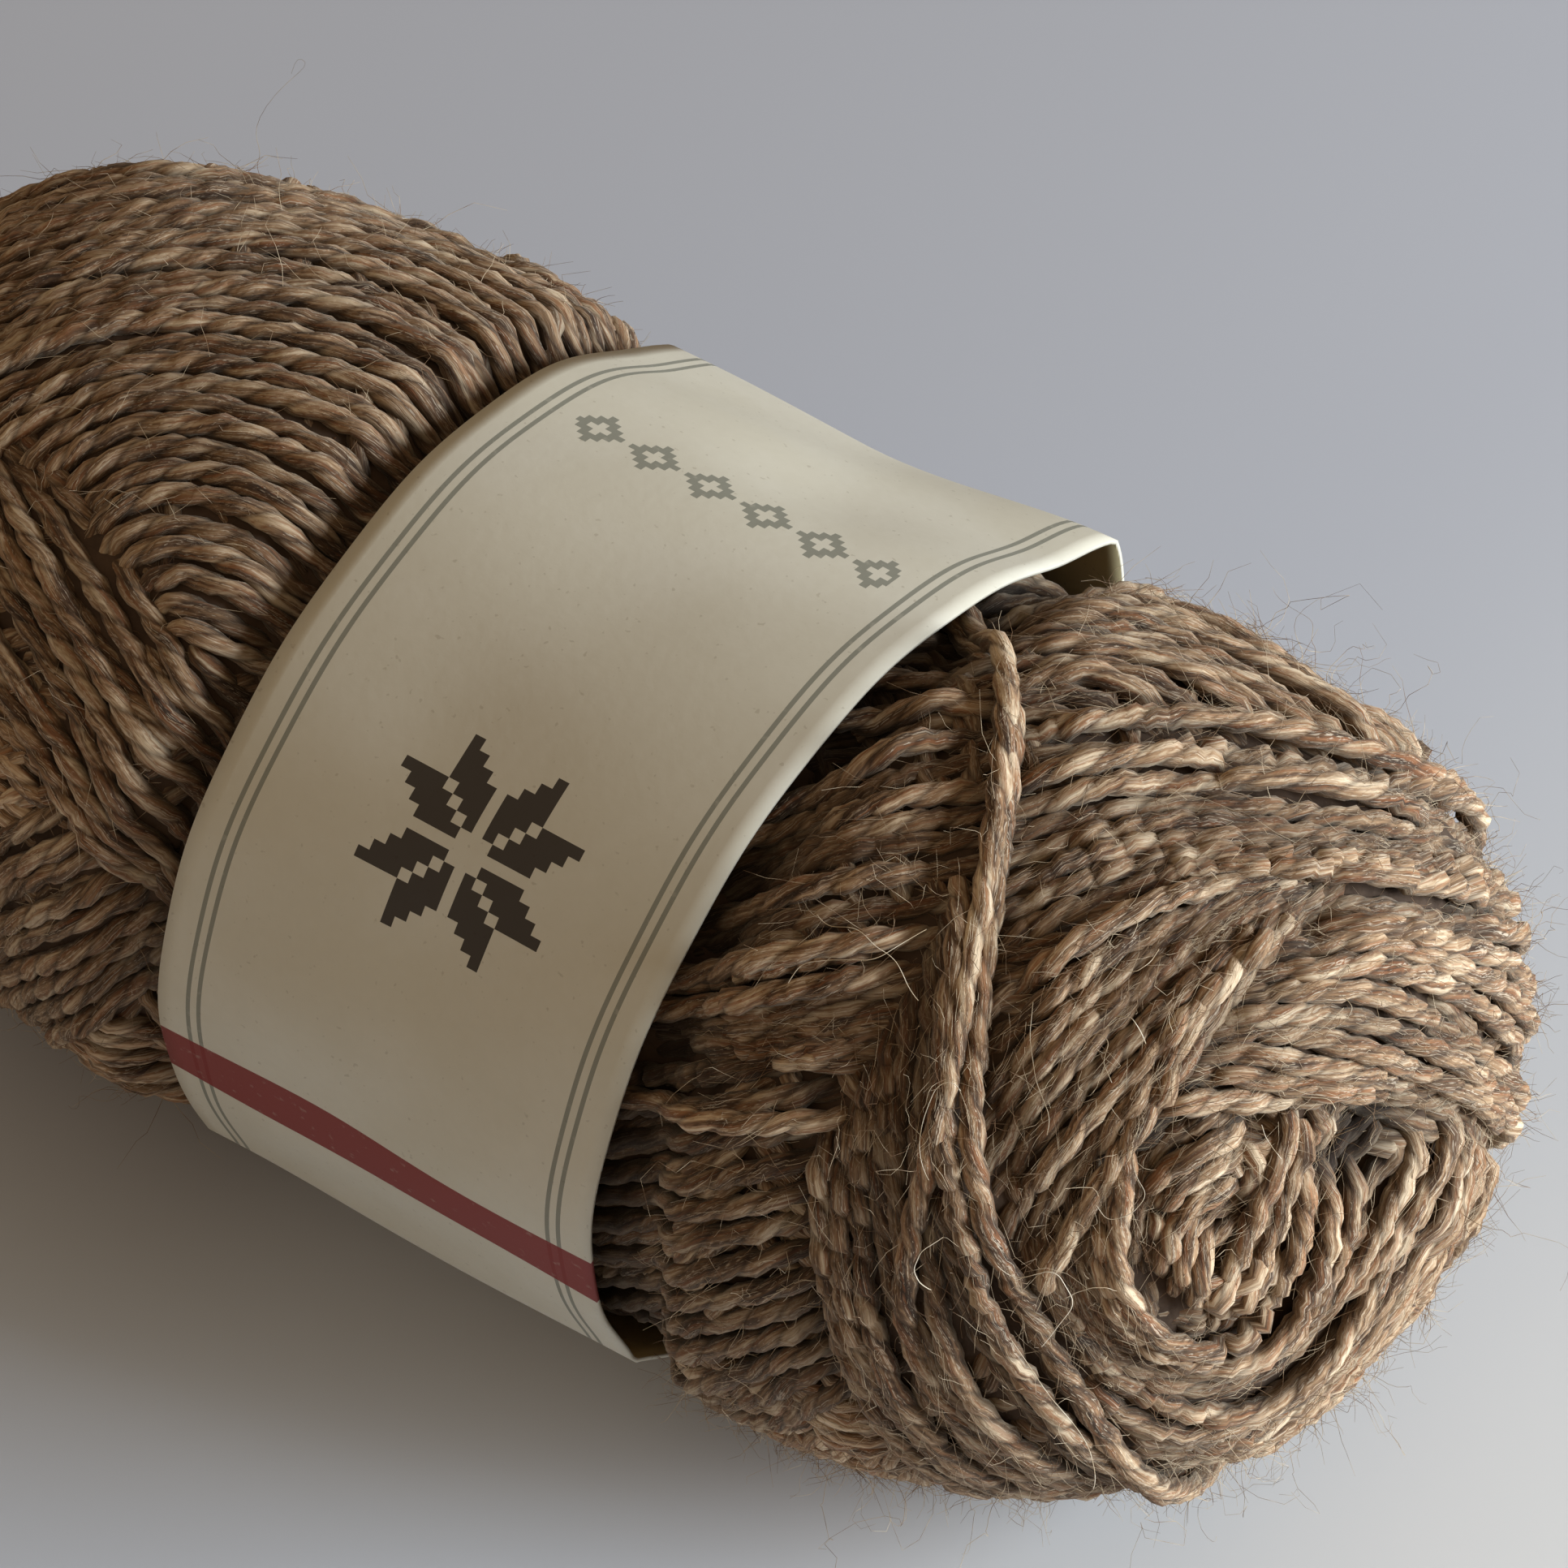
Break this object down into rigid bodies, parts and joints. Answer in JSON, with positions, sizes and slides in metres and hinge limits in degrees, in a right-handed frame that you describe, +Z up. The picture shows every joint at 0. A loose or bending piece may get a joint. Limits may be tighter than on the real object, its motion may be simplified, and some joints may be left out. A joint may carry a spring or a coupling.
{
  "type": "ball of yarn",
  "caption": "Oblong machine-wound ball of heathered two-ply wool lying on its side, with a plain paper band round its drawn-in waist.",
  "frame": {"origin": "on the surface the ball lies on, under the middle of the box of the whole part", "axes": "+X along the ball towards its near end, +Z up from the surface it lies on, +Y across it"},
  "size_m": [0.101, 0.0518, 0.0512],
  "materials": {
    "heather_wool": "soft two-ply wool, brown heather with cream, grey and ginger fibres",
    "band_paper": "uncoated cream paper, matt"
  },
  "bodies": {
    "root": {"wound_yarn": "heather_wool", "paper_band": "band_paper"}
  },
  "joints": []
}
